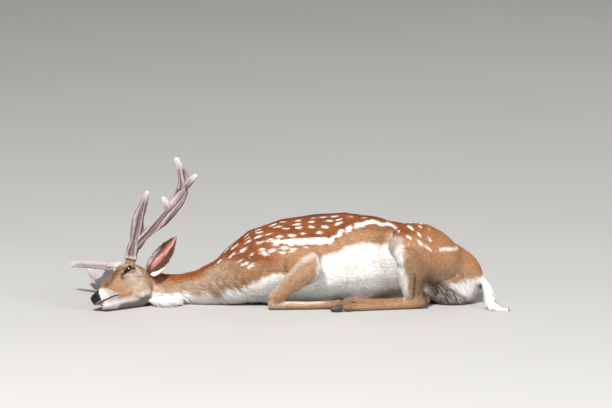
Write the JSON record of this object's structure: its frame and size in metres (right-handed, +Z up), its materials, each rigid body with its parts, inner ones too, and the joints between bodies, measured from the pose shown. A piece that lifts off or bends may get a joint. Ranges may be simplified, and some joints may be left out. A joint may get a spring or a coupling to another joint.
{
  "type": "fallow deer",
  "caption": "Life-size still model of a resting fallow buck in summer coat, neck stretched along the ground, legs folded, antlers in velvet.",
  "frame": {"origin": "centre of the underside of the whole model's box, on the floor", "axes": "+X towards the tail, along the body's length, -Y towards the animal's left side, +Z up"},
  "size_m": [1.7256, 0.587, 0.5726],
  "materials": {
    "coat": "short dense chestnut summer coat with white spots, paler on the flank, neck and legs and white below",
    "face_coat": "very short grey-brown face coat, paler round the eye and on the muzzle",
    "white_coat": "longer white hair of the chin and tail",
    "velvet": "matt grey-pink antler velvet with lengthwise veins",
    "hoof": "dark satin horn with fine growth rings",
    "eye": "wet dark brown eye with a clear glossy surface"
  },
  "bodies": {
    "root": {"foot_fore_left": "coat", "hoof_fore_left_1": "hoof", "hoof_fore_left_2": "hoof", "dewclaw_fore_left_1": "hoof", "dewclaw_fore_left_2": "hoof", "foot_fore_right": "coat", "hoof_fore_right_1": "hoof", "hoof_fore_right_2": "hoof", "dewclaw_fore_right_1": "hoof", "dewclaw_fore_right_2": "hoof", "foot_hind_left": "coat", "hoof_hind_left_1": "hoof", "hoof_hind_left_2": "hoof", "dewclaw_hind_left_1": "hoof", "dewclaw_hind_left_2": "hoof", "foot_hind_right": "coat", "hoof_hind_right_1": "hoof", "hoof_hind_right_2": "hoof", "dewclaw_hind_right_1": "hoof", "dewclaw_hind_right_2": "hoof", "cannon_fore_left": "coat", "cannon_fore_right": "coat", "cannon_hind_left": "coat", "cannon_hind_right": "coat", "forearm_left": "coat", "forearm_right": "coat", "shank_left": "coat", "shank_right": "coat", "eye_left": "eye", "eye_right": "eye", "head": "face_coat", "jaw": "white_coat", "ear_left": "face_coat", "ear_right": "face_coat", "antler_left_base": "velvet", "antler_left_beam": "velvet", "antler_left_top": "velvet", "antler_left_brow": "velvet", "antler_left_trez": "velvet", "antler_left_back": "velvet", "antler_right_base": "velvet", "antler_right_beam": "velvet", "antler_right_top": "velvet", "antler_right_brow": "velvet", "antler_right_back": "velvet", "neck": "coat", "chest": "coat", "belly": "coat", "rump": "coat", "shoulder_left": "coat", "shoulder_right": "coat", "thigh_left": "coat", "thigh_right": "coat", "tail": "white_coat"}
  },
  "joints": []
}
